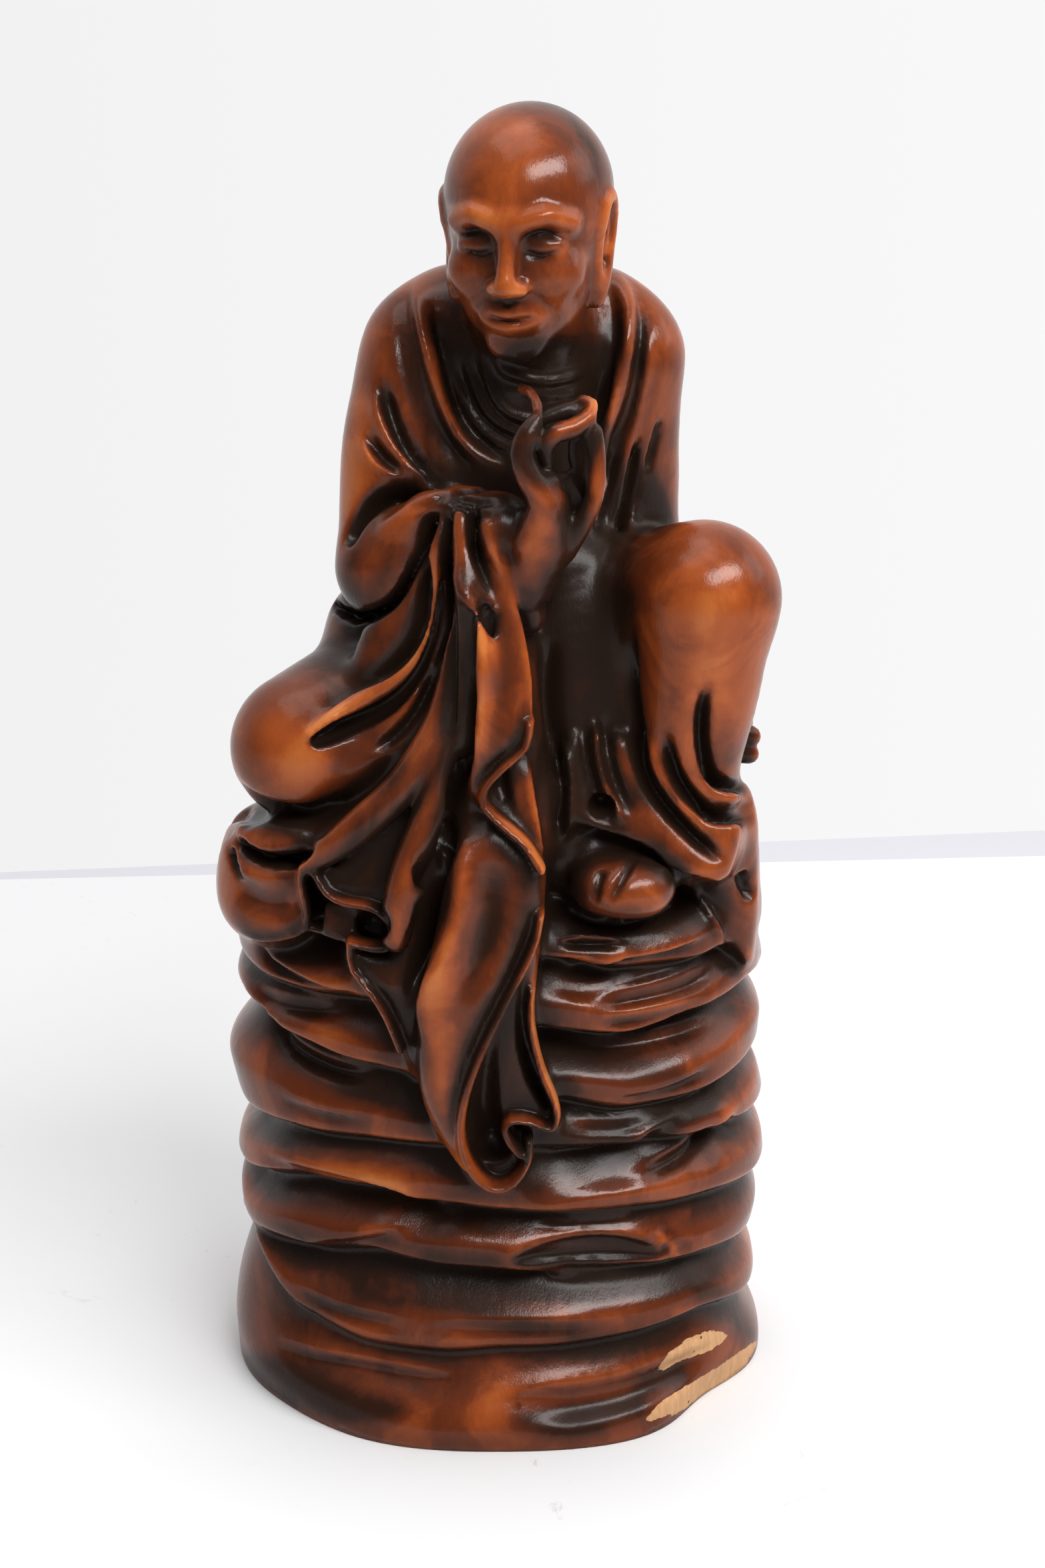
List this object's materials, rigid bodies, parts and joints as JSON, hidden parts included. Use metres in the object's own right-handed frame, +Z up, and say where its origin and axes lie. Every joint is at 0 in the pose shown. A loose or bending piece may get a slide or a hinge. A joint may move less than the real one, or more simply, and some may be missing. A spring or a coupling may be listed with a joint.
{
  "type": "carved wood figure",
  "caption": "Seated robed figure on a ledged rock, carved from one block of wood, an ornament that stands on its flat underside.",
  "frame": {"origin": "middle of the overall plan, on the underside of the rock", "axes": "+Z up, the figure faces -Y, +X to the right of someone who looks at its front"},
  "size_m": [0.1278, 0.1102, 0.294],
  "materials": {
    "boxwood": "polished reddish-brown carved boxwood with a dark stain in the hollows"
  },
  "bodies": {
    "root": {"carved_figure": "boxwood"}
  },
  "joints": []
}
